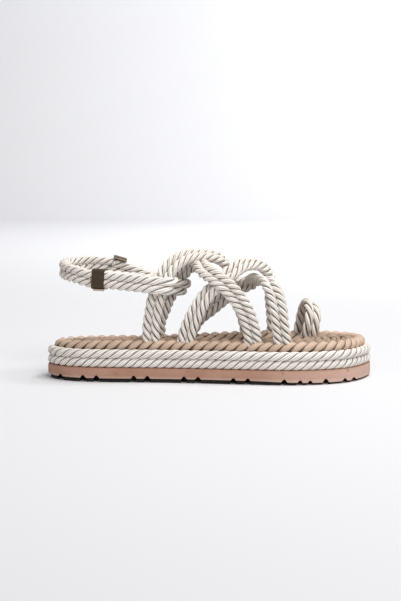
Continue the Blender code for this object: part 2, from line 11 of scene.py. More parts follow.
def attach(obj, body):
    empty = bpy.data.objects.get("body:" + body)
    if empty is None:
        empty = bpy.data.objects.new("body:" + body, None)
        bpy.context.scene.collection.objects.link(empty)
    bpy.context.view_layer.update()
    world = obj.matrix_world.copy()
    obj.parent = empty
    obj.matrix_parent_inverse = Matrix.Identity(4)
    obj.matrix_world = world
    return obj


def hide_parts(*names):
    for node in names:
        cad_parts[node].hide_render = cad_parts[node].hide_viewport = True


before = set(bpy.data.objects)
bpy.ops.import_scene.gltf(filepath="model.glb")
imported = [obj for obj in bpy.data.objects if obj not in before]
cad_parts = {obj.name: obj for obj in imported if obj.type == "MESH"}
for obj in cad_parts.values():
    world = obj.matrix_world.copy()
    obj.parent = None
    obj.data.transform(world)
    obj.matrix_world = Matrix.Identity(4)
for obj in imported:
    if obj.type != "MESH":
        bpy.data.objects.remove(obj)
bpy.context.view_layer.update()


# The camera stands a metre from the outer side, a little above the straps, and looks down gently,
# as the photograph was taken. The picture is taller than wide, so the sensor's 36 mm is its height.
CAMERA_PLACE = (-0.0073, -1.0, 0.1611)
CAMERA_DOWN = 5.83
camera_data = bpy.data.cameras.new("camera")
camera_data.sensor_width = 36.0
camera_data.lens = 78.18
camera_data.clip_end = 50.0
camera = bpy.data.objects.new("camera", camera_data)
camera.location = CAMERA_PLACE
camera.rotation_euler = (math.radians(90.0 - CAMERA_DOWN), 0.0, 0.0)
bpy.context.scene.collection.objects.link(camera)
bpy.context.scene.camera = camera


# Studio: a white paper sweep under a pale sky. A soft lamp hangs over the sandal, a second stands at
# the front right, so that the left of the picture stays a little darker, and a third lights the
# backdrop. Each lamp has a place, an aim, a size, a power in watts and a colour.
WARM_LIGHT = (1.0, 0.995, 0.985)
PLAIN_LIGHT = (1.0, 1.0, 1.0)
LAMPS = {
    "top_lamp": ((0.3, -0.1, 1.1), (0.0, 0.0, 0.04), (0.6, 0.5), 9.6, WARM_LIGHT),
    "front_lamp": ((0.42, -1.2, 0.95), (0.0, 0.0, 0.05), (0.5, 0.5), 9.8, WARM_LIGHT),
    "wall_lamp": ((1.5, 1.3, 1.7), (0.45, 4.2, 0.35), (2.0, 1.0), 106.0, PLAIN_LIGHT),
}
SKY_COLOUR = (0.985, 0.98, 0.99, 1.0)
SKY_STRENGTH = 0.4


def studio_lamp(name, place, aim, size, power, colour):
    data = bpy.data.lights.new(name, "AREA")
    data.shape = "RECTANGLE"
    data.size, data.size_y = size
    data.energy = power
    data.color = colour
    lamp = bpy.data.objects.new(name, data)
    lamp.location = place
    lamp.rotation_euler = (Vector(aim) - Vector(place)).to_track_quat("-Z", "Y").to_euler()
    bpy.context.scene.collection.objects.link(lamp)


for name, lamp in LAMPS.items():
    studio_lamp(name, *lamp)

world = bpy.data.worlds.new("studio")
world.use_nodes = True
world.node_tree.nodes["Background"].inputs["Color"].default_value = SKY_COLOUR
world.node_tree.nodes["Background"].inputs["Strength"].default_value = SKY_STRENGTH
bpy.context.scene.world = world
bpy.context.scene.view_settings.view_transform = "Standard"

SWEEP_REACH = 6.0
SWEEP_BACK = 3.0
SWEEP_RADIUS = 1.2
SWEEP_TURN = 85.0
WALL_RISE = (0.0, 0.1, 5.0)
# Painted shade: the paper's colour darkens toward the camera. Each row gives a y and the paper colour
# there.
PAPER_NEAR_SHADE = (-0.6, (0.585, 0.588, 0.603, 1.0))
PAPER_FAR = (-0.05, (0.715, 0.718, 0.736, 1.0))


def paper_sweep():
    """Floor that curves up into the backdrop, wide enough for every view."""
    bm = bmesh.new()
    front = bm.verts.new((-SWEEP_REACH, -SWEEP_REACH, 0.0))
    back = bm.verts.new((-SWEEP_REACH, SWEEP_BACK, 0.0))
    bm.edges.new((front, back))
    bmesh.ops.spin(bm, geom=[back], cent=(-SWEEP_REACH, SWEEP_BACK, SWEEP_RADIUS), axis=(1.0, 0.0, 0.0),
                   angle=math.radians(SWEEP_TURN), steps=24)
    top = max(bm.verts, key=lambda vert: vert.co.z)
    rise = bmesh.ops.extrude_vert_indiv(bm, verts=[top])["verts"]
    bmesh.ops.translate(bm, verts=rise, vec=WALL_RISE)
    strip = bmesh.ops.extrude_edge_only(bm, edges=bm.edges[:])
    moved = [item for item in strip["geom"] if isinstance(item, bmesh.types.BMVert)]
    bmesh.ops.translate(bm, verts=moved, vec=(2 * SWEEP_REACH, 0.0, 0.0))
    bmesh.ops.recalc_face_normals(bm, faces=bm.faces)
    mesh = bpy.data.meshes.new("paper_sweep")
    bm.to_mesh(mesh)
    bm.free()
    mesh.shade_smooth()
    floor = bpy.data.objects.new("paper_sweep", mesh)
    bpy.context.scene.collection.objects.link(floor)
    return floor


def paper_finish():
    """White paper with painted shade: its colour grows darker toward the camera."""
    paper = bpy.data.materials.new("white_paper")
    paper.use_nodes = True
    nodes = paper.node_tree.nodes
    links = paper.node_tree.links
    shader = nodes["Principled BSDF"]
    shader.inputs["Roughness"].default_value = 0.9
    parts = nodes.new("ShaderNodeSeparateXYZ")
    backward = nodes.new("ShaderNodeMapRange")
    shade = nodes.new("ShaderNodeValToRGB")
    for number, (y, tint) in enumerate((PAPER_NEAR_SHADE, PAPER_FAR)):
        backward.inputs[1 + number].default_value = y
        shade.color_ramp.elements[number].color = tint
    links.new(nodes.new("ShaderNodeTexCoord").outputs["Object"], parts.inputs["Vector"])
    links.new(parts.outputs["Y"], backward.inputs[0])
    links.new(backward.outputs[0], shade.inputs["Fac"])
    links.new(shade.outputs["Color"], shader.inputs["Base Color"])
    return paper


sweep = paper_sweep()
sweep.data.materials.append(paper_finish())


# Outsole: one moulding of pinkish tan foam rubber. Its rim shows as a plain band about 8 mm high with
# pairs of V grooves moulded across the underside; the tread under it is set back and painted near black
# as shade.
# From here on, sizes and places are in millimetres.
MM = 0.001
HEEL_TIP = (-125.0, -0.5)
TOE_TIP = (125.0, 10.0)

# Columns: x, y of the outer edge, y of the inner edge.
SOLE_STATIONS = [
    (-118.0, -15.0, 14.0),
    (-104.0, -24.5, 22.5),
    (-82.0, -29.5, 27.0),
    (-48.0, -31.5, 29.0),
    (-12.0, -35.0, 34.0),
    (26.0, -41.0, 43.0),
    (58.0, -44.5, 47.5),
    (84.0, -40.5, 45.5),
    (104.0, -30.5, 38.5),
    (118.0, -12.0, 27.0),
]

# The rim's lower edge comes nearer to the floor under the toes, over this stretch of x.
RIM_BOTTOM = 3.0
RIM_BOTTOM_TOE = 1.5
RIM_CHANGE = (25.0, 85.0)
TREAD_INSET = 2.0

# Rings of the moulding from the middle of the tread up to the top of the core inside the ropes.
# Columns: distance from the outline, height, 1 where that height counts from the rim's lower edge.
SOLE_RINGS = [
    (9.0, 0.0, 0), (TREAD_INSET + 0.4, 0.0, 0), (TREAD_INSET, 0.3, 0), (TREAD_INSET, 0.0, 1),
    (1.1, 0.0, 1), (0.45, 0.1, 1), (0.1, 0.45, 1), (0.0, 1.1, 1), (0.0, 6.8, 0), (0.0, 9.8, 0),
    (0.12, 10.5, 0), (0.5, 10.9, 0), (1.1, 11.0, 0), (7.0, 11.0, 0), (7.0, 22.0, 0),
]

# Grooves: x and height of the top of each, then their common section from its top.
GROOVES = [
    (-113.7, 5.0), (-96.0, 5.4), (-85.7, 5.4), (-57.5, 5.4), (-47.3, 5.4), (-19.7, 5.3), (-9.2, 5.3),
    (17.1, 5.0), (27.8, 5.0), (54.7, 4.8), (66.6, 4.0), (74.1, 3.7), (86.0, 4.6), (101.0, 3.9),
    (108.4, 3.6),
]
GROOVE_SECTION = [
    (-2.5, -9.0), (-2.5, -2.6), (-0.9, -0.45), (0.0, 0.0), (0.9, -0.45), (2.5, -2.6), (2.5, -9.0),
]
GROOVE_REACH = 60.0
SOFT_EDGE = 0.35

FOAM_DARK = "A07762"
FOAM_LIGHT = "B28A77"
# Painted light: the next colour makes the rim paler toward the toe, where it turns toward the lamps.
FOAM_LIT_TOE = "D6B8AA"
# Painted shade: the next colour darkens the rim's top, under the overhang of the welt rope.
FOAM_ROPE_SHADOW = "9A6A50"
FOAM_SPECK = "7E5D4D"
FOAM_PALER_LOW = "CBAE9D"
# Painted shade: the next colour makes the set-back tread near black, as the shadow under the sole.
TREAD_PAINTED_SHADE = "120C09"


def spline(points, per_span, closed):
    """Points on a smooth curve through the given ones (centripetal Catmull-Rom)."""
    points = np.asarray(points, float)
    if closed:
        knots = np.vstack([points[-1:], points, points[:2]])
        spans = len(points)
    else:
        knots = np.vstack([2 * points[0] - points[1], points, 2 * points[-1] - points[-2]])
        spans = len(points) - 1
    result = []
    for i in range(spans):
        p0, p1, p2, p3 = knots[i:i + 4]
        t1 = np.linalg.norm(p1 - p0) ** 0.5
        t2 = t1 + np.linalg.norm(p2 - p1) ** 0.5
        t3 = t2 + np.linalg.norm(p3 - p2) ** 0.5
        for t in np.linspace(t1, t2, per_span, endpoint=False):
            a1 = (t1 - t) / t1 * p0 + t / t1 * p1
            a2 = (t2 - t) / (t2 - t1) * p1 + (t - t1) / (t2 - t1) * p2
            a3 = (t3 - t) / (t3 - t2) * p2 + (t - t2) / (t3 - t2) * p3
            b1 = (t2 - t) / t2 * a1 + t / t2 * a2
            b2 = (t3 - t) / (t3 - t1) * a2 + (t - t1) / (t3 - t1) * a3
            result.append((t2 - t) / (t2 - t1) * b1 + (t - t1) / (t2 - t1) * b2)
    if not closed:
        result.append(points[-1])
    return np.array(result)


def sole_outline(per_span=12):
    """Closed outline of the sole, anticlockwise from the heel's tip along the outer side."""
    outer = [(x, outer_y) for x, outer_y, inner_y in SOLE_STATIONS]
    inner = [(x, inner_y) for x, outer_y, inner_y in reversed(SOLE_STATIONS)]
    return spline([HEEL_TIP] + outer + [TOE_TIP] + inner, per_span, closed=True)


def ease(value, start, end):
    """Smooth step from 0 at start to 1 at end."""
    t = np.clip((value - start) / (end - start), 0.0, 1.0)
    return t * t * (3 - 2 * t)


def moved_inward(loop, inset):
    """An anticlockwise loop moved inward by one distance, or by one for each point."""
    along = np.roll(loop, -1, axis=0) - np.roll(loop, 1, axis=0)
    along /= np.linalg.norm(along, axis=1)[:, None]
    return loop + np.column_stack([-along[:, 1], along[:, 0]]) * np.reshape(inset, (-1, 1))


def finished_piece(name, bm, materials, sharp=40.0):
    """Turn a bmesh in millimetres into a smooth piece of the sandal."""
    bmesh.ops.scale(bm, vec=(MM, MM, MM), verts=bm.verts)
    bmesh.ops.recalc_face_normals(bm, faces=bm.faces)
    mesh = bpy.data.meshes.new(name)
    bm.to_mesh(mesh)
    bm.free()
    mesh.shade_smooth()
    mesh.set_sharp_from_angle(angle=math.radians(sharp))
    for material in materials:
        mesh.materials.append(material)
    piece = bpy.data.objects.new(name, mesh)
    bpy.context.scene.collection.objects.link(piece)
    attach(piece, "root")
    return piece


def moulded_sole():
    """The sole's rings, one above the other, skinned and closed."""
    outline = sole_outline()
    rim = RIM_BOTTOM - (RIM_BOTTOM - RIM_BOTTOM_TOE) * ease(outline[:, 0], *RIM_CHANGE)
    bm = bmesh.new()
    bmesh.ops.create_circle(bm, segments=len(outline), radius=1.0, cap_ends=False)
    ring = list(bm.verts)
    first = list(bm.edges)
    edges = first
    for number, (inset, height, from_rim) in enumerate(SOLE_RINGS):
        if number:
            moved = bmesh.ops.extrude_edge_only(bm, edges=edges)["geom"]
            edges = [item for item in moved if isinstance(item, bmesh.types.BMEdge)]
            fresh = {item for item in moved if isinstance(item, bmesh.types.BMVert)}
            ring = [next(e.other_vert(vert) for e in vert.link_edges if e.other_vert(vert) in fresh)
                    for vert in ring]
        for vert, (x, y), z in zip(ring, moved_inward(outline, inset), height + from_rim * rim):
            vert.co = (x, y, z)
    bmesh.ops.contextual_create(bm, geom=first)
    bmesh.ops.contextual_create(bm, geom=edges)
    return bm


def groove_bars():
    """Bars with a rounded back, to be cut out of the sole's underside."""
    bm = bmesh.new()
    for x, top in GROOVES:
        ring = bmesh.ops.create_circle(bm, segments=len(GROOVE_SECTION), radius=1.0, cap_ends=True)
        for vert, (dx, dz) in zip(ring["verts"], GROOVE_SECTION):
            vert.co = (x + dx, -GROOVE_REACH, top + dz)
        end = list(ring["verts"][0].link_faces)
        bar = bmesh.ops.extrude_face_region(bm, geom=end)["geom"]
        far_end = [item for item in bar if isinstance(item, bmesh.types.BMVert)]
        bmesh.ops.translate(bm, verts=far_end, vec=(0.0, 2 * GROOVE_REACH, 0.0))
    bmesh.ops.recalc_face_normals(bm, faces=bm.faces)
    bmesh.ops.scale(bm, vec=(MM, MM, MM), verts=bm.verts)
    mesh = bpy.data.meshes.new("groove_bars")
    bm.to_mesh(mesh)
    bm.free()
    bars = bpy.data.objects.new("groove_bars", mesh)
    bpy.context.scene.collection.objects.link(bars)
    return bars


def apply_modifiers(piece):
    """Put the modifiers' result in the piece's own mesh."""
    bpy.context.view_layer.update()
    done = bpy.data.meshes.new_from_object(piece.evaluated_get(bpy.context.evaluated_depsgraph_get()))
    piece.modifiers.clear()
    done.name = piece.name
    piece.data = done


def colour(hex_code):
    """Linear colour of a colour as it looks on screen."""
    parts = [int(hex_code[i:i + 2], 16) / 255.0 for i in (0, 2, 4)]
    return tuple(c / 12.92 if c <= 0.04045 else ((c + 0.055) / 1.055) ** 2.4 for c in parts) + (1.0,)


def add_node(tree, kind, inputs=None, **settings):
    """A node with its settings; inputs holds values, or other nodes' outputs to join."""
    node = tree.nodes.new(kind)
    for key, value in settings.items():
        setattr(node, key, value)
    for key, value in (inputs or {}).items():
        if isinstance(value, bpy.types.NodeSocket):
            tree.links.new(value, node.inputs[key])
        else:
            node.inputs[key].default_value = value
    return node


def noise(tree, place, scale, detail, roughness=0.5):
    """A soft random pattern."""
    values = {"Vector": place, "Scale": scale, "Detail": detail, "Roughness": roughness}
    return add_node(tree, "ShaderNodeTexNoise", values).outputs["Fac"]


def maths(tree, operation, *values):
    return add_node(tree, "ShaderNodeMath", dict(enumerate(values)), operation=operation).outputs[0]


def fade(tree, value, start, end, low=0.0, high=1.0, shape="LINEAR"):
    """Goes from low to high while value goes from start to end, and stays level outside."""
    limits = {0: value, 1: start, 2: end, 3: low, 4: high}
    return add_node(tree, "ShaderNodeMapRange", limits, interpolation_type=shape).outputs[0]


def blend_colours(tree, factor, first, second, mode="MIX"):
    """Mix of two colours, each a value or another node's output."""
    node = tree.nodes.new("ShaderNodeMix")
    node.data_type = "RGBA"
    node.blend_type = mode
    for socket, value in ((node.inputs[0], factor), (node.inputs[6], first), (node.inputs[7], second)):
        if isinstance(value, bpy.types.NodeSocket):
            tree.links.new(value, socket)
        else:
            socket.default_value = value
    return node.outputs[2]


class Finish:
    """A material and short ways to add and join its nodes."""

    def __init__(self, name, roughness, metallic=0.0):
        self.material = bpy.data.materials.new(name)
        self.material.use_nodes = True
        self.tree = self.material.node_tree
        self.shader = self.tree.nodes["Principled BSDF"]
        self.shader.inputs["Roughness"].default_value = roughness
        self.shader.inputs["Metallic"].default_value = metallic

    def place(self):
        """Place on the sandal, in metres."""
        return add_node(self.tree, "ShaderNodeTexCoord").outputs["Object"]

    def link(self, source, socket):
        self.tree.links.new(source, self.shader.inputs[socket])

    def bump(self, height, strength, depth):
        values = {"Strength": strength, "Distance": depth * MM, "Height": height}
        self.link(add_node(self.tree, "ShaderNodeBump", values).outputs["Normal"], "Normal")


def foam_finish():
    """Pinkish tan foam rubber: fine pores, faint blotches and specks, painted light toward the toe,
    painted shade under the welt rope, a paler band low on the rim, and the tread under it painted near
    black as shade.
    """
    finish = Finish("foam_rubber", 0.78)
    tree = finish.tree
    place = finish.place()
    parts = add_node(tree, "ShaderNodeSeparateXYZ", {"Vector": place}).outputs
    along, height = parts["X"], parts["Z"]
    cells = add_node(tree, "ShaderNodeTexVoronoi", {"Vector": place, "Scale": 75.0, "Randomness": 1.0})
    pores = noise(tree, place, 900.0, 3.0, 0.7)
    blotches = fade(tree, noise(tree, place, 48.0, 5.0, 0.65), 0.3, 0.7)
    specks = fade(tree, cells.outputs["Distance"], 0.05, 0.11, 0.7, 0.0)
    # Painted light: the rim grows paler toward the toe, where it turns toward the lamps.
    toe = fade(tree, along, 30 * MM, 110 * MM, 0.0, 0.6)
    # Painted shade: the rim darkens at its top, under the overhang of the welt rope.
    rope_shadow_band = fade(tree, height, 9.5 * MM, 10.8 * MM, 0.0, 0.55)
    # The rim is paler just above its lower edge.
    paler_low_band = fade(tree, height, 3.2 * MM, 5.0 * MM, 0.8, 0.0)
    start, end = RIM_CHANGE
    low, low_at_toe = RIM_BOTTOM - 0.05, RIM_BOTTOM_TOE - 0.05
    rim = fade(tree, along, start * MM, end * MM, low * MM, low_at_toe * MM, shape="SMOOTHSTEP")
    # Painted shade: everything below the rim's lower edge, the set-back tread, is coloured near black.
    tread = maths(tree, "LESS_THAN", height, rim)
    skin = blend_colours(tree, blotches, colour(FOAM_DARK), colour(FOAM_LIGHT))
    for mask, tint in ((toe, FOAM_LIT_TOE), (rope_shadow_band, FOAM_ROPE_SHADOW), (specks, FOAM_SPECK),
                       (paler_low_band, FOAM_PALER_LOW), (tread, TREAD_PAINTED_SHADE)):
        skin = blend_colours(tree, mask, skin, colour(tint))
    finish.link(skin, "Base Color")
    finish.link(fade(tree, pores, 0.3, 0.7, 0.68, 0.88), "Roughness")
    finish.bump(pores, 0.35, 0.2)
    return finish.material


sole = finished_piece("outsole_moulding", moulded_sole(), [foam_finish()])
bars = groove_bars()
cut = sole.modifiers.new("grooves", "BOOLEAN")
cut.operation = "DIFFERENCE"
cut.solver = "EXACT"
cut.object = bars
apply_modifiers(sole)
bpy.data.objects.remove(bars, do_unlink=True)
soften = sole.modifiers.new("soft_edges", "BEVEL")
soften.width = SOFT_EDGE * MM
soften.segments = 2
soften.limit_method = "ANGLE"
soften.angle_limit = math.radians(35.0)
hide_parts("outsole")


# Welt: two turns of white three-strand rope, glued one above the other on the sole's rim. Three
# strands are laid to the left round each other and pressed together, so each rope is one skin with
# three rounded lobes that turn along it.
WELT_RADIUS = 3.75
WELT_INSET = 3.35
WELT_PRESS = 0.68

# Height of each course's axis and length of one full turn of its strands.
WELT_COURSES = {"welt_rope_lower": (14.45, 19.0), "welt_rope_upper": (21.2, 22.4)}
LOBE_FACES = 14
FACES_PER_TURN = 20
ROPE_UNEVEN = 0.02
STRAND_UNEVEN = 0.012
ROPE_SHARP = 75.0


def even_points(points, step, closed):
    """The same curve cut into equal steps of about the given length."""
    line = np.vstack([points, points[:1]]) if closed else points
    steps = np.linalg.norm(np.diff(line[:, :3], axis=0), axis=1)
    along = np.concatenate([[0.0], np.cumsum(steps)])
    count = max(4, round(along[-1] / step)) + (0 if closed else 1)
    wanted = np.linspace(0.0, along[-1], count, endpoint=not closed)
    return np.column_stack([np.interp(wanted, along, line[:, k]) for k in range(line.shape[1])])


def lobe_profile(across, strands, press):
    """Distance of a strand's skin from the rope's axis, in rope radii. The strand is a circle; press
    says how far its neighbours flatten into it."""
    swing = (across - 0.5) * 2 * math.pi / strands
    middle = 1.0 - press
    return middle * math.cos(swing) + math.sqrt(max(press ** 2 - (middle * math.sin(swing)) ** 2, 0.0))


def rope_axes(line, ups, closed):
    """Unit directions upward and sideways from the rope's axis, at each of its points."""
    ahead = np.vstack([line[1:], line[1:2] if closed else 2 * line[-1:] - line[-2:-1]])
    behind = np.vstack([line[-2:-1] if closed else 2 * line[:1] - line[1:2], line[:-1]])
    along = ahead - behind
    along /= np.linalg.norm(along, axis=1)[:, None]
    ups = ups - along * (ups * along).sum(axis=1)[:, None]
    ups /= np.linalg.norm(ups, axis=1)[:, None]
    return ups, np.cross(along, ups)


def turns_along(steps, lay, strands, closed):
    """How often the strands have gone round at each point. In a closed rope they meet again."""
    pace = np.broadcast_to(np.asarray(lay, float), (len(steps) + 1,))
    turns = np.concatenate([[0.0], np.cumsum(2 * steps / (pace[1:] + pace[:-1]))])
    if closed:
        turns *= round(strands * turns[-1]) / strands / turns[-1]
    return turns


def unevenness(steps, seed):
    """Slow waves in a rope's thickness, from -1 to 1, each a whole number of times along it."""
    length = np.concatenate([[0.0], np.cumsum(steps)])
    share = length / length[-1] * 2 * np.pi
    waves = [np.sin(share * count + order * seed) for order, count in enumerate((5, 13, 31), 1)]
    return sum(waves) / len(waves)


def laid_rope(bm, path, ups, radius, lay, closed, strands=3, press=0.56, yarns=4, yarn_height=0.2,
              start=0.0, seed=0.0):
    """One rope along a path. ups says from where its twist is counted; lay may be one figure or one
    for each point. Each strand has fine ridges of yarn, laid across it."""
    line = np.vstack([path, path[:1]]) if closed else path
    ups, sides = rope_axes(line, np.vstack([ups, ups[:1]]) if closed else ups, closed)
    steps = np.linalg.norm(np.diff(line, axis=0), axis=1)
    turns = turns_along(steps, lay, strands, closed)
    uneven = unevenness(steps, seed)
    around = strands * LOBE_FACES
    grid = bmesh.ops.create_grid(bm, x_segments=around, y_segments=len(line) - 1, size=1.0)
    verts = sorted(grid["verts"], key=lambda vert: (round(vert.co.y, 5), round(vert.co.x, 5)))
    places = {}
    for k in range(around + 1):
        lobe, part = divmod(k, LOBE_FACES)
        even = part / LOBE_FACES
        across = 0.6 * even + 0.4 * (0.5 - 0.5 * math.cos(math.pi * even))
        profile = lobe_profile(across, strands, press)
        crest = math.sin(math.pi * across) ** 0.5
        for i in range(len(line)):
            ridge = abs(math.sin(math.pi * (yarns * (lobe + across) + strands * turns[i])))
            wander = math.sin(2.1 * lobe + 1.7 * turns[i] + seed) * (not closed)
            size = 1.0 + ROPE_UNEVEN * uneven[i] + STRAND_UNEVEN * wander
            reach = radius * size * profile + yarn_height * crest * (ridge - 1.0)
            angle = 2 * math.pi * ((lobe + across) / strands + turns[i] + start)
            vert = verts[i * (around + 1) + k]
            vert.co = line[i] + reach * (math.cos(angle) * ups[i] - math.sin(angle) * sides[i])
            places[vert] = (lobe + across, turns[i])
    uv_layer = bm.loops.layers.uv.verify()
    for face in {face for vert in verts for face in vert.link_faces}:
        for loop in face.loops:
            loop[uv_layer].uv = places[loop.vert]
    bmesh.ops.remove_doubles(bm, verts=verts, dist=0.0005)
    if not closed:
        rims = {edge for vert in verts if vert.is_valid for edge in vert.link_edges if edge.is_boundary}
        bmesh.ops.holes_fill(bm, edges=list(rims), sides=0)


def strand_pattern():
    """Node group for every laid rope. From the rope's own UV map, where U counts strands and V counts
    turns, it gives the groove between strands, the gaps between yarns, loose fibres and a blotch."""
    group = bpy.data.node_groups.new("strand_pattern", "ShaderNodeTree")
    for name, value in (("Strands", 3.0), ("Yarns", 4.0), ("Groove Width", 0.12), ("Fray", 0.5)):
        socket = group.interface.new_socket(name, in_out="INPUT", socket_type="NodeSocketFloat")
        socket.default_value = value
    for name in ("Groove", "Yarn Gap", "Fibre", "Blotch"):
        group.interface.new_socket(name, in_out="OUTPUT", socket_type="NodeSocketFloat")
    given = group.nodes.new("NodeGroupInput").outputs
    result = group.nodes.new("NodeGroupOutput").inputs
    coordinates = group.nodes.new("ShaderNodeTexCoord").outputs
    uv = add_node(group, "ShaderNodeSeparateXYZ", {"Vector": coordinates["UV"]}).outputs

    patches = noise(group, coordinates["Object"], 190.0, 2.0)
    width = maths(group, "MULTIPLY", given["Groove Width"], maths(group, "ADD", patches, 0.5))
    edge = maths(group, "PINGPONG", uv["X"], 0.5)
    groove = fade(group, edge, 0.0, width, 1.0, 0.0, shape="SMOOTHSTEP")

    crossing = maths(group, "MULTIPLY", uv["Y"], given["Strands"])
    phase = maths(group, "MULTIPLY_ADD", uv["X"], given["Yarns"], crossing)
    frayed = maths(group, "MULTIPLY_ADD", patches, given["Fray"], phase)
    ridge = maths(group, "PINGPONG", frayed, 0.5)
    gap = fade(group, ridge, 0.0, 0.28, 1.0, 0.0, shape="SMOOTHSTEP")

    stretched = add_node(group, "ShaderNodeCombineXYZ", {0: maths(group, "MULTIPLY", phase, 3.0),
                                                         1: maths(group, "MULTIPLY", uv["Y"], 9.0)})
    fibre = noise(group, stretched.outputs[0], 1.0, 4.0, 0.75)
    blotch = noise(group, coordinates["Object"], 60.0, 3.0)
    for name, value in (("Groove", groove), ("Yarn Gap", gap), ("Fibre", fibre), ("Blotch", blotch)):
        group.links.new(value, result[name])
    return group


strands_group = strand_pattern()


def rope_finish(name, light, shade, crease_shade, roughness, strands, yarns, groove_width, groove_depth,
                yarn_depth, sheen, foot=0.0, crown=0.0):
    """Laid rope: yarns along each strand, with painted shade in the grooves between strands and in the
    gaps between yarns, and a faint blotch. Between the heights foot and crown the painted groove shade
    grows narrow upward, where more light falls."""
    finish = Finish(name, roughness)
    tree = finish.tree
    values = {"Strands": strands, "Yarns": yarns, "Groove Width": groove_width, "Fray": 0.5}
    pattern = add_node(tree, "ShaderNodeGroup", values, node_tree=strands_group)
    groove, gap, fibre, blotch = pattern.outputs
    if crown > foot:
        height = add_node(tree, "ShaderNodeSeparateXYZ", {"Vector": finish.place()}).outputs["Z"]
        # Painted shade: the grooves' dark band is wide low down and narrow higher up, where more light
        # falls.
        narrowing = fade(tree, height, foot * MM, crown * MM, 2.1 * groove_width, 0.55 * groove_width)
        tree.links.new(narrowing, pattern.inputs["Groove Width"])
    skin = blend_colours(tree, fade(tree, blotch, 0.35, 0.65, 0.0, 0.5), colour(light), colour(shade))
    skin = blend_colours(tree, fade(tree, fibre, 0.3, 0.7, 0.0, 0.45), skin, colour(shade))
    # Painted shade: yarn gaps and the grooves between strands are darkened toward the crease colour.
    skin = blend_colours(tree, maths(tree, "MULTIPLY", gap, yarn_depth), skin, colour(crease_shade))
    skin = blend_colours(tree, maths(tree, "MULTIPLY", groove, groove_depth), skin, colour(crease_shade))
    finish.link(skin, "Base Color")
    finish.bump(maths(tree, "SUBTRACT", fibre, gap), 0.45, 0.2)
    finish.shader.inputs["Sheen Weight"].default_value = sheen
    finish.shader.inputs["Sheen Roughness"].default_value = 0.45
    return finish.material


white_rope = rope_finish("white_rope", light="F9F4EE", shade="E3DACF", crease_shade="382716", roughness=0.88,
                         strands=3, yarns=4, groove_width=0.125, groove_depth=1.0, yarn_depth=0.55,
                         sheen=0.05)

for name, (height, lay) in WELT_COURSES.items():
    course = even_points(moved_inward(sole_outline(), WELT_INSET), lay / FACES_PER_TURN, closed=True)
    along = np.roll(course, -1, axis=0) - np.roll(course, 1, axis=0)
    outward = np.column_stack([along[:, 1], -along[:, 0], np.zeros(len(course))])
    bm = bmesh.new()
    laid_rope(bm, np.column_stack([course, np.full(len(course), height)]), outward, WELT_RADIUS, lay,
              closed=True, press=WELT_PRESS, seed=height)
    rope = finished_piece(f"{name}_laid", bm, [white_rope], ROPE_SHARP)
    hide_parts(name)


# Footbed: tan satin rope of two strands, thicker, glued on the upper welt rope as an edge and then
# wound inward in turns that fill the sole, with its own end along the middle of the heel. The bed
# sinks a little behind the heel and along the inner side.
EDGE_RADIUS = 4.45
EDGE_INSET = 8.6
EDGE_HEIGHT = 27.1
EDGE_PRESS = 0.68
EDGE_DRAWN_IN = 0.75
TAN_LAY = 16.4
TAN_STRANDS = 2
TAN_YARNS = 5
BED_DROP = 1.5


def bed_drop(x, y):
    """How much lower the footbed lies behind the heel and along its inner side."""
    behind = BED_DROP * ease(x, -70.0, -115.0)
    inner = BED_DROP * ease(x, 30.0, -60.0) * ease(y, -12.0, 16.0)
    return np.maximum(behind, inner)


def bed_rope(bm, course, height, radius, press, closed, seed):
    """Tan rope along a course of the footbed, at a height that follows the bed's drop."""
    course = even_points(course, TAN_LAY / FACES_PER_TURN, closed)
    level = height - bed_drop(course[:, 0], course[:, 1])
    ups = np.tile((0.0, 0.0, 1.0), (len(course), 1))
    laid_rope(bm, np.column_stack([course, level]), ups, radius, TAN_LAY, closed, strands=TAN_STRANDS,
              press=press, yarns=TAN_YARNS, yarn_height=0.06, seed=seed)


tan_rope = rope_finish("tan_rope", light="D7BDA6", shade="BEA28B", crease_shade="2A1A12", roughness=0.56,
                       strands=TAN_STRANDS, yarns=TAN_YARNS, groove_width=0.14, groove_depth=0.96,
                       yarn_depth=0.2, sheen=0.06, foot=23.5, crown=30.5)

edge_course = moved_inward(sole_outline(), EDGE_INSET)
drawn_in = EDGE_DRAWN_IN * bed_drop(edge_course[:, 0], edge_course[:, 1])
edge_course = moved_inward(sole_outline(), EDGE_INSET + drawn_in)
bm = bmesh.new()
bed_rope(bm, edge_course, EDGE_HEIGHT, EDGE_RADIUS, EDGE_PRESS, closed=True, seed=1.0)
edge_rope = finished_piece("insole_edge_rope_laid", bm, [tan_rope], ROPE_SHARP)
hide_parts("insole_edge_rope")

# Turns of the coil: how many pitches inside the edge rope, and the x from which the turn is there.
COIL_TURNS = [(1, -200.0), (2, -200.0), (3, -18.0), (4, 28.0)]
COIL_PITCH = 8.2
COIL_RADIUS = 4.15
COIL_HEIGHT = 26.9
COIL_PRESS = 0.62
TAIL_ROUTE = [(-52.0, -1.3), (-36.0, -1.1), (-18.0, -0.8)]
TAIL_RADIUS = 3.0
TAIL_HEIGHT = 27.3

# Cloth that the coil is glued on: its distance from the outline and the heights of its faces.
BASE_INSET = 13.6
BASE_BOTTOM = 23.0
BASE_TOP = 25.8


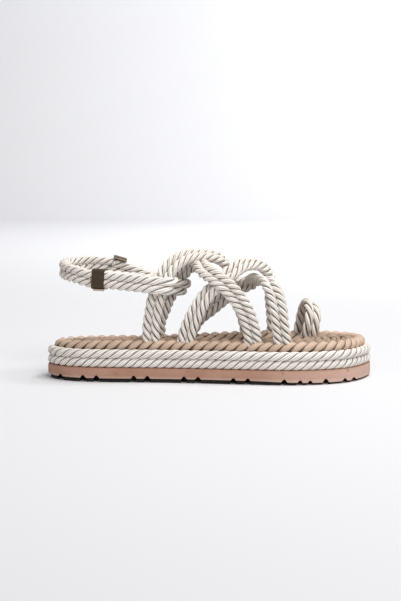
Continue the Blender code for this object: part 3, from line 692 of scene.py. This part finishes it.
def turn_inside(inset, from_x):
    """One turn of the coil: the sole's outline moved inward, without what crosses over itself."""
    outline = sole_outline(40)
    moved = moved_inward(outline, inset)
    clear = [np.linalg.norm(outline - point, axis=1).min() > inset - 0.12 for point in moved]
    loop = moved[np.array(clear) & (moved[:, 0] > from_x)]
    stations = np.array(SOLE_STATIONS)
    middle = np.interp(loop[:, 0], stations[:, 0], stations[:, 1:].mean(axis=1))
    away = loop[:, 1] - middle
    loop[:, 1] = middle + np.sign(away) * np.maximum(np.abs(away), COIL_RADIUS - 0.3)
    loop = even_points(loop, 1.0, closed=True)
    for _ in range(25):
        loop = (np.roll(loop, 1, axis=0) + 2 * loop + np.roll(loop, -1, axis=0)) / 4
    return loop


def add_base_cloth(bm):
    """A flat sheet under the coil, in the piece's second material."""
    outline = moved_inward(sole_outline(), BASE_INSET)
    lower = bmesh.ops.create_circle(bm, segments=len(outline), radius=1.0, cap_ends=True)["verts"]
    for vert, (x, y) in zip(lower, outline):
        vert.co = (x, y, BASE_BOTTOM)
    under = list(lower[0].link_faces)
    raised = bmesh.ops.extrude_face_region(bm, geom=under, use_keep_orig=True)["geom"]
    upper = [item for item in raised if isinstance(item, bmesh.types.BMVert)]
    bmesh.ops.translate(bm, verts=upper, vec=(0.0, 0.0, BASE_TOP - BASE_BOTTOM))
    for face in {face for vert in lower + upper for face in vert.link_faces}:
        face.material_index = 1


# The coil's rope: tan rope in darker tones than the edge rope, with wider painted shade in the grooves
# between its strands.
darker_coil_rope = rope_finish("darker_coil_rope", light="B39A84", shade="947A66", crease_shade="20130C",
                            roughness=0.64, strands=TAN_STRANDS, yarns=TAN_YARNS, groove_width=0.22,
                            groove_depth=0.98, yarn_depth=0.16, sheen=0.06, foot=27.8, crown=30.8)
base_cloth = Finish("base_cloth", 0.9)
base_cloth.shader.inputs["Base Color"].default_value = colour("7A604D")

bm = bmesh.new()
for number, from_x in COIL_TURNS:
    bed_rope(bm, turn_inside(EDGE_INSET + number * COIL_PITCH, from_x), COIL_HEIGHT, COIL_RADIUS,
             COIL_PRESS, closed=True, seed=2.0 + number)
bed_rope(bm, np.array(TAIL_ROUTE), TAIL_HEIGHT, TAIL_RADIUS, COIL_PRESS, closed=False, seed=7.0)
add_base_cloth(bm)
coil = finished_piece("insole_coil_laid", bm, [darker_coil_rope, base_cloth.material], ROPE_SHARP)
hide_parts("insole_coil")


# Upper: four straps, each two white ropes side by side. They rise from the footbed, cross over the
# instep and go down on the other side; where two meet, one passes over the other.
BED_TOP = 31.0
STRAP_RADIUS = 3.75
STRAP_SPREAD = 3.2
STRAP_PRESS = 0.52
STRAP_LAYS = {"rear_outer": 19.5, "rear_inner": 20.0, "front_outer": 16.2, "front_inner": 16.8}
FOOT_DEPTH = 3.5
OUT_OF_STEP = 0.11

# The form of the instep under the straps. Columns: x, half width at the footbed, half width above
# it, y of the middle, height over the footbed.
INSTEP_STATIONS = [
    (-70.0, 17.0, 23.0, -1.2, 62.0),
    (-44.0, 17.7, 23.0, -1.1, 64.0),
    (-17.0, 21.1, 25.5, -0.6, 62.0),
    (8.0, 25.5, 28.5, 0.2, 59.0),
    (31.0, 29.8, 32.0, 1.0, 54.0),
    (52.0, 32.9, 34.5, 1.3, 48.0),
    (75.0, 33.5, 35.0, 2.0, 42.0),
]
INSTEP_SQUARENESS = 2.3
TUCK_SHARPNESS = 10

# Columns: x, degrees round the instep from its top toward the inner side, distance over the form,
# degrees by which the pair of ropes is turned.
STRAP_ROUTES = {
    "rear_outer": [
        (-44.5, -90.0, 3.4, 0.0), (-44.5, -84.0, 3.4, 0.0), (-43.0, -76.0, 3.4, 0.0),
        (-41.0, -66.0, 3.4, 0.0), (-37.5, -56.0, 3.4, 0.0), (-33.5, -44.0, 3.4, 0.0),
        (-27.5, -32.0, 3.4, 0.0), (-18.5, -18.0, 3.4, 4.0), (-9.0, -4.0, 2.4, 16.0),
        (0.8, 6.0, 2.4, 36.0), (8.6, 18.0, 2.6, 60.0), (14.0, 35.0, 3.4, 68.0),
        (18.0, 54.0, 6.2, 50.0), (22.3, 69.0, 8.0, 16.0), (28.0, 80.0, 4.8, 0.0),
        (31.0, 90.0, 3.4, 0.0),
    ],
    "rear_inner": [
        (-18.5, -90.0, 3.4, 0.0), (-16.5, -85.0, 3.4, 0.0), (-12.5, -77.0, 3.4, -10.0),
        (-8.0, -69.0, 3.4, -28.0), (-3.2, -61.0, 3.4, -40.0), (1.8, -54.0, 3.2, -42.0),
        (9.8, -44.0, 3.2, -28.0), (16.5, -34.0, 3.4, -8.0), (24.0, -19.0, 3.4, 0.0),
        (34.0, -2.0, 3.0, 10.0), (40.6, 8.0, 2.4, 36.0), (45.8, 22.0, 1.8, 60.0),
        (48.8, 40.0, 2.2, 58.0), (50.6, 64.0, 3.4, 20.0), (52.0, 80.0, 3.4, 0.0),
        (52.5, 90.0, 3.4, 0.0),
    ],
    "front_outer": [
        (32.0, -90.0, 3.4, 0.0), (30.8, -83.5, 3.4, 0.0), (28.0, -74.5, 3.8, 0.0),
        (23.8, -66.5, 5.2, 0.0), (18.0, -60.0, 7.6, 0.0), (11.3, -54.0, 9.2, 0.0),
        (3.6, -48.0, 8.6, 0.0), (-4.0, -37.0, 3.6, 0.0), (-8.0, -14.0, -2.2, 0.0),
        (-10.0, 10.0, -2.6, 0.0), (-12.5, 31.0, 2.0, 0.0), (-18.0, 40.0, 3.4, 0.0),
        (-24.0, 50.0, 3.4, 0.0), (-29.5, 61.0, 3.4, 0.0), (-34.5, 70.0, 3.4, 0.0),
        (-37.5, 76.5, 3.4, 0.0), (-41.0, 84.0, 3.4, 0.0), (-41.5, 90.0, 3.4, 0.0),
    ],
    "front_inner": [
        (54.0, -90.0, 3.4, 0.0), (52.7, -82.0, 3.4, 0.0), (51.5, -72.0, 3.4, 0.0),
        (50.5, -62.0, 3.4, 0.0), (48.5, -51.0, 3.4, 0.0), (45.5, -41.0, 2.8, 0.0),
        (43.0, -27.0, -1.4, 0.0), (40.0, -4.0, -7.6, 0.0), (36.0, 24.0, -5.4, 0.0),
        (32.0, 47.0, 1.4, 0.0), (24.0, 55.0, 3.0, 0.0), (10.5, 67.0, 3.2, 0.0),
        (0.5, 75.0, 3.4, 0.0), (-9.5, 82.0, 3.4, 0.0), (-17.0, 90.0, 3.4, 0.0),
    ],
}


def read_table(rows, x, column):
    """One column of a table at x, on a smooth curve through its rows."""
    xs = np.array([row[0] for row in rows])
    ys = np.array([row[column] for row in rows])
    slopes = np.gradient(ys, xs)
    i = int(np.clip(np.searchsorted(xs, x) - 1, 0, len(xs) - 2))
    span = xs[i + 1] - xs[i]
    t = float(np.clip((x - xs[i]) / span, 0.0, 1.0))
    start = (1 + 2 * t) * (1 - t) ** 2 * ys[i] + t * (1 - t) ** 2 * span * slopes[i]
    end = t * t * (3 - 2 * t) * ys[i + 1] + t * t * (t - 1) * span * slopes[i + 1]
    return start + end


def instep_point(x, degrees, lift):
    """A point over the instep form that the straps lie on."""
    base, belly, centre, height = (read_table(INSTEP_STATIONS, x, column) for column in (1, 2, 3, 4))
    sine = math.sin(math.radians(degrees))
    cosine = math.cos(math.radians(degrees))
    half = belly - (belly - base) * abs(sine) ** TUCK_SHARPNESS
    power = 2 / INSTEP_SQUARENESS
    y = centre + (half + lift) * math.copysign(abs(sine) ** power, sine)
    z = BED_TOP + (height + lift) * max(cosine, 0.0) ** power
    return Vector((x, y, z))


def instep_outward(x, degrees):
    """Direction straight out from the instep form."""
    here = min(max(degrees, -86.0), 86.0)
    round_it = instep_point(x, here + 2.0, 0.0) - instep_point(x, here - 2.0, 0.0)
    forward = instep_point(x + 1.0, here, 0.0) - instep_point(x - 1.0, here, 0.0)
    outward = forward.cross(round_it).normalized()
    lifted = instep_point(x, here, 1.0) - instep_point(x, here, 0.0)
    return outward if outward.dot(lifted) > 0 else -outward


def with_feet(path, outwards, turns, depth):
    """Run a strap's ends straight down into the footbed and give the directions across it."""
    path = np.vstack([path[:1] - (0, 0, depth), path, path[-1:] - (0, 0, depth)])
    outwards = np.vstack([outwards[:1], outwards, outwards[-1:]])
    turns = np.concatenate([[0.0], turns, [0.0]])
    along = np.vstack([path[1:], path[-1:]]) - np.vstack([path[:1], path[:-1]])
    along /= np.linalg.norm(along, axis=1)[:, None]
    widths = np.cross(outwards, along)
    widths /= np.linalg.norm(widths, axis=1)[:, None]
    for i, turn in enumerate(turns):
        widths[i] = Matrix.Rotation(turn, 3, Vector(along[i])) @ Vector(widths[i])
    return path, widths


def strap_line(route, lay):
    """Even points along a strap and the directions across it."""
    rows = []
    for x, degrees, lift, turn in route:
        outward = instep_outward(x, degrees)
        if abs(degrees) == 90.0:
            outward = Vector((0.0, math.copysign(1.0, degrees), 0.0))
        rows.append((*instep_point(x, degrees, lift), *outward, math.radians(turn)))
    curve = even_points(spline(rows, 24, closed=False), lay / FACES_PER_TURN, closed=False)
    return with_feet(curve[:, :3], curve[:, 3:6], curve[:, 6], FOOT_DEPTH)


def rope_pair(bm, path, widths, radius, spread, lay, start, seed):
    """Two ropes side by side along a path, their strands a little out of step."""
    for side in (1, -1):
        laid_rope(bm, path + side * spread * widths, side * widths, radius, lay, closed=False,
                  press=STRAP_PRESS, start=start + OUT_OF_STEP * side, seed=seed + side)


strap_rope = rope_finish("strap_rope", light="FAF5EF", shade="E4D9CD", crease_shade="33210F", roughness=0.88,
                         strands=3, yarns=4, groove_width=0.108, groove_depth=1.0, yarn_depth=0.5,
                         sheen=0.05, foot=30.0, crown=125.0)

bm = bmesh.new()
for number, (name, route) in enumerate(STRAP_ROUTES.items()):
    path, widths = strap_line(route, STRAP_LAYS[name])
    rope_pair(bm, path, widths, STRAP_RADIUS, STRAP_SPREAD, STRAP_LAYS[name], start=0.21 * number,
              seed=5.0 + number)
straps = finished_piece("upper_straps_laid", bm, [strap_rope], ROPE_SHARP)
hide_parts("upper_straps")


# Toe loop: the same double rope, a little thinner and laid longer, as a hoop for the big toe. Its
# outer foot goes down between the coil's turns and its inner foot beside the edge rope.
TOE_RADIUS = 3.7
TOE_SPREAD = 3.15
TOE_LAY = 25.0
TOE_LEAN = 24.0
TOE_ROUTE = [
    (77.0, 7.0, 31.0), (78.6, 5.4, 38.0), (80.0, 7.0, 45.5), (80.0, 12.5, 51.6),
    (79.2, 21.5, 54.0), (77.6, 30.0, 51.0), (76.0, 35.4, 44.5), (74.8, 36.8, 37.5), (73.6, 36.2, 31.0),
]
TOE_MIDDLE = (78.0, 21.5, 40.0)


def toe_line():
    """Even points along the toe loop and the directions across it."""
    path = even_points(spline(TOE_ROUTE, 24, closed=False), TOE_LAY / FACES_PER_TURN, closed=False)
    outwards = path - TOE_MIDDLE
    outwards /= np.linalg.norm(outwards, axis=1)[:, None]
    outwards[0] = (0.0, -1.0, 0.0)
    outwards[-1] = (0.0, 1.0, 0.0)
    share = np.linspace(0.0, 1.0, len(path))
    return with_feet(path, outwards, math.radians(TOE_LEAN) * np.sin(np.pi * share), FOOT_DEPTH)


bm = bmesh.new()
rope_pair(bm, *toe_line(), TOE_RADIUS, TOE_SPREAD, TOE_LAY, start=0.3, seed=11.0)
toe_loop = finished_piece("toe_loop_laid", bm, [strap_rope], ROPE_SHARP)
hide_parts("toe_loop")


# Heel strap: one doubled rope, its two runs one above the other. It comes out of the outer clip,
# goes round the rear strap and back, round the heel, round the front strap's inner end and back to
# the inner clip. Near the outer loop it is pulled, so its strands lie longer there.
SLING_LAY = 18.4
SLING_DRAWN = 0.75
DRAWN_STRETCH = (-50.0, -34.0)

# Columns: x, y, z, lean of the pair in x and in y for each unit of height.
SLING_ROUTE = [
    (-89.2, -19.3, 78.0, 0.0, 0.0),
    (-78.0, -20.9, 77.4, 0.0, 0.0),
    (-51.0, -17.4, 74.7, 0.22, 0.10),
    (-41.5, -15.3, 73.5, 0.36, 0.16),
    (-36.0, -15.8, 73.2, 0.38, 0.17),
    (-31.0, -17.8, 72.9, 0.42, 0.20),
    (-28.8, -22.9, 72.8, 0.42, 0.20),
    (-31.0, -28.6, 72.9, 0.42, 0.20),
    (-36.0, -30.9, 73.2, 0.38, 0.17),
    (-41.5, -31.0, 73.6, 0.36, 0.16),
    (-52.0, -30.7, 74.8, 0.22, 0.08),
    (-78.0, -28.1, 77.4, 0.0, 0.0),
    (-89.2, -26.5, 78.0, 0.0, 0.0),
    (-99.0, -22.8, 80.4, 0.0, 0.0),
    (-108.6, -13.0, 82.2, 0.0, 0.0),
    (-112.2, 0.0, 83.6, 0.0, 0.0),
    (-109.0, 13.0, 84.9, 0.0, -0.05),
    (-99.0, 22.6, 85.4, 0.0, -0.10),
    (-87.0, 26.6, 85.3, 0.0, -0.14),
    (-77.0, 28.4, 83.8, 0.0, -0.14),
    (-65.8, 29.4, 80.5, 0.0, -0.14),
    (-40.0, 30.4, 71.4, 0.52, -0.05),
    (-32.0, 30.0, 69.3, 0.56, -0.05),
    (-26.0, 29.6, 68.2, 0.56, -0.05),
    (-21.4, 27.6, 67.6, 0.60, -0.08),
    (-19.4, 22.3, 67.4, 0.60, -0.08),
    (-21.4, 17.1, 67.4, 0.60, -0.08),
    (-26.0, 15.1, 67.9, 0.56, -0.05),
    (-32.0, 14.6, 68.9, 0.56, -0.05),
    (-40.0, 15.2, 71.0, 0.52, -0.05),
    (-65.8, 22.2, 80.5, 0.0, -0.14),
    (-77.0, 21.2, 83.8, 0.0, -0.14),
]


def heel_line():
    """Even points along the heel strap and the directions from one run up to the other."""
    curve = even_points(spline(SLING_ROUTE, 12, closed=False), SLING_LAY / FACES_PER_TURN, closed=False)
    path = curve[:, :3]
    upright = np.column_stack([curve[:, 3:5], np.ones(len(curve))])
    along = np.gradient(path, axis=0)
    along /= np.linalg.norm(along, axis=1)[:, None]
    upright -= along * (upright * along).sum(axis=1)[:, None]
    upright /= np.linalg.norm(upright, axis=1)[:, None]
    return path, upright


bm = bmesh.new()
path, upright = heel_line()
pulled = ease(path[:, 0], *DRAWN_STRETCH) * (path[:, 1] < 0.0)
rope_pair(bm, path, upright, STRAP_RADIUS, STRAP_SPREAD, SLING_LAY * (1.0 + SLING_DRAWN * pulled),
          start=0.0, seed=17.0)
sling = finished_piece("heel_strap_laid", bm, [strap_rope], ROPE_SHARP)
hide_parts("heel_strap")


# Clips: each a strip of dark bronze sheet folded round both runs of the heel strap. Its lower end
# laps over the foot of the face as a narrow brighter strip. Columns: middle of the clip, direction
# of the ropes through it, lean of its top in degrees, side that its face looks to.
CLIPS = {
    "clip_lateral": ((-82.7, -23.7, 77.7), (1.0, -0.14, -0.05), -4.0, -1),
    "clip_medial": ((-72.4, 25.3, 82.7), (1.0, 0.09, -0.29), 2.0, 1),
}
CLIP_LENGTH = 9.9
CLIP_WALL = 0.8
CLIP_CORNER = 2.2
CLIP_HALF_Y = 7.8
CLIP_HALF_Z = 7.6
CLIP_WAIST = 1.0
CLIP_COLUMNS = 8
LAP_WALL = 2.6
LAP_HEIGHT = 1.3
LAP_SUNK = 0.6
LAP_OFFSET = 0.9
LAP_BEVEL = 0.2

# Corners of the folded sheet: first angle, steps of 15 degrees, side in y and in z.
CLIP_FOLDS = [(150, 4, -1, 1), (90, 6, 1, 1), (0, 6, 1, -1), (-90, 4, -1, -1)]


def folded_line():
    """Middle line of the clip's sheet, as places and outward directions: top, face and bottom."""
    line = []
    for start, steps, side_y, side_z in CLIP_FOLDS:
        middle = (side_y * (CLIP_HALF_Y - CLIP_CORNER), side_z * (CLIP_HALF_Z - CLIP_CORNER))
        for step in range(steps + 1):
            angle = math.radians(start - 15 * step)
            normal = (math.cos(angle), math.sin(angle))
            place = (middle[0] + CLIP_CORNER * normal[0], middle[1] + CLIP_CORNER * normal[1])
            line.append((place, normal))
    return line


def bronze_finish(name, dark, light):
    """Bronze, brushed along the clip, with faint stains."""
    finish = Finish(name, 0.42, metallic=0.8)
    tree = finish.tree
    place = finish.place()
    brushed = add_node(tree, "ShaderNodeMapping", {"Vector": place, "Scale": (3000.0, 900.0, 160.0)})
    grain = noise(tree, brushed.outputs[0], 1.0, 3.0)
    stains = noise(tree, place, 220.0, 3.0)
    finish.link(blend_colours(tree, stains, colour(dark), colour(light)), "Base Color")
    finish.link(fade(tree, grain, 0.0, 1.0, 0.34, 0.58), "Roughness")
    finish.bump(grain, 0.15, 0.1)
    return finish.material


def clip_sheet(centre, along, lean, facing):
    """A folded sheet with its lap, placed round the ropes."""
    bm = bmesh.new()
    line = folded_line()
    rows = len(line) - 1
    grid = bmesh.ops.create_grid(bm, x_segments=CLIP_COLUMNS, y_segments=rows, size=1.0)["verts"]
    grid.sort(key=lambda vert: (round(vert.co.y, 5), round(vert.co.x, 5)))
    for row, ((y, z), normal) in enumerate(line):
        waist = CLIP_WAIST * math.cos(math.pi * z / (2 * CLIP_HALF_Z)) if y > 0 else 0.0
        for column in range(CLIP_COLUMNS + 1):
            part = 2 * column / CLIP_COLUMNS - 1
            x = part * (CLIP_LENGTH / 2 - waist * max(part, 0.0))
            grid[row * (CLIP_COLUMNS + 1) + column].co = (x, facing * y, z)
    bmesh.ops.recalc_face_normals(bm, faces=bm.faces)
    bmesh.ops.solidify(bm, geom=bm.faces[:], thickness=CLIP_WALL)
    place = Matrix.Translation((LAP_OFFSET, facing * (CLIP_HALF_Y - LAP_SUNK), -CLIP_HALF_Z - LAP_SUNK))
    size = Matrix.Diagonal((CLIP_LENGTH - 2 * LAP_OFFSET, LAP_WALL, LAP_HEIGHT, 1.0))
    lap = bmesh.ops.create_cube(bm, size=1.0, matrix=place @ size)["verts"]
    edges = {edge for vert in lap for edge in vert.link_edges}
    for face in {face for vert in lap for face in vert.link_faces}:
        face.material_index = 1
    bmesh.ops.bevel(bm, geom=list(edges), offset=LAP_BEVEL, offset_type="OFFSET", affect="EDGES",
                    segments=2, profile=0.5, material=-1)
    turn = Vector(along).normalized().to_track_quat("X", "Z").to_matrix().to_4x4()
    roll = Matrix.Rotation(math.radians(lean), 4, "X")
    bmesh.ops.transform(bm, matrix=Matrix.Translation(centre) @ turn @ roll, verts=bm.verts)
    return bm


bronze = bronze_finish("bronze", dark="4A3D31", light="5C4D3E")
# A paler bronze for the lap: the lip is coloured lighter than the face.
pale_bronze = bronze_finish("pale_bronze", dark="BFA999", light="D2BEB0")

for name, shape in CLIPS.items():
    sheet = finished_piece(f"{name}_folded", clip_sheet(*shape), [bronze, pale_bronze])
    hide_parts(name)
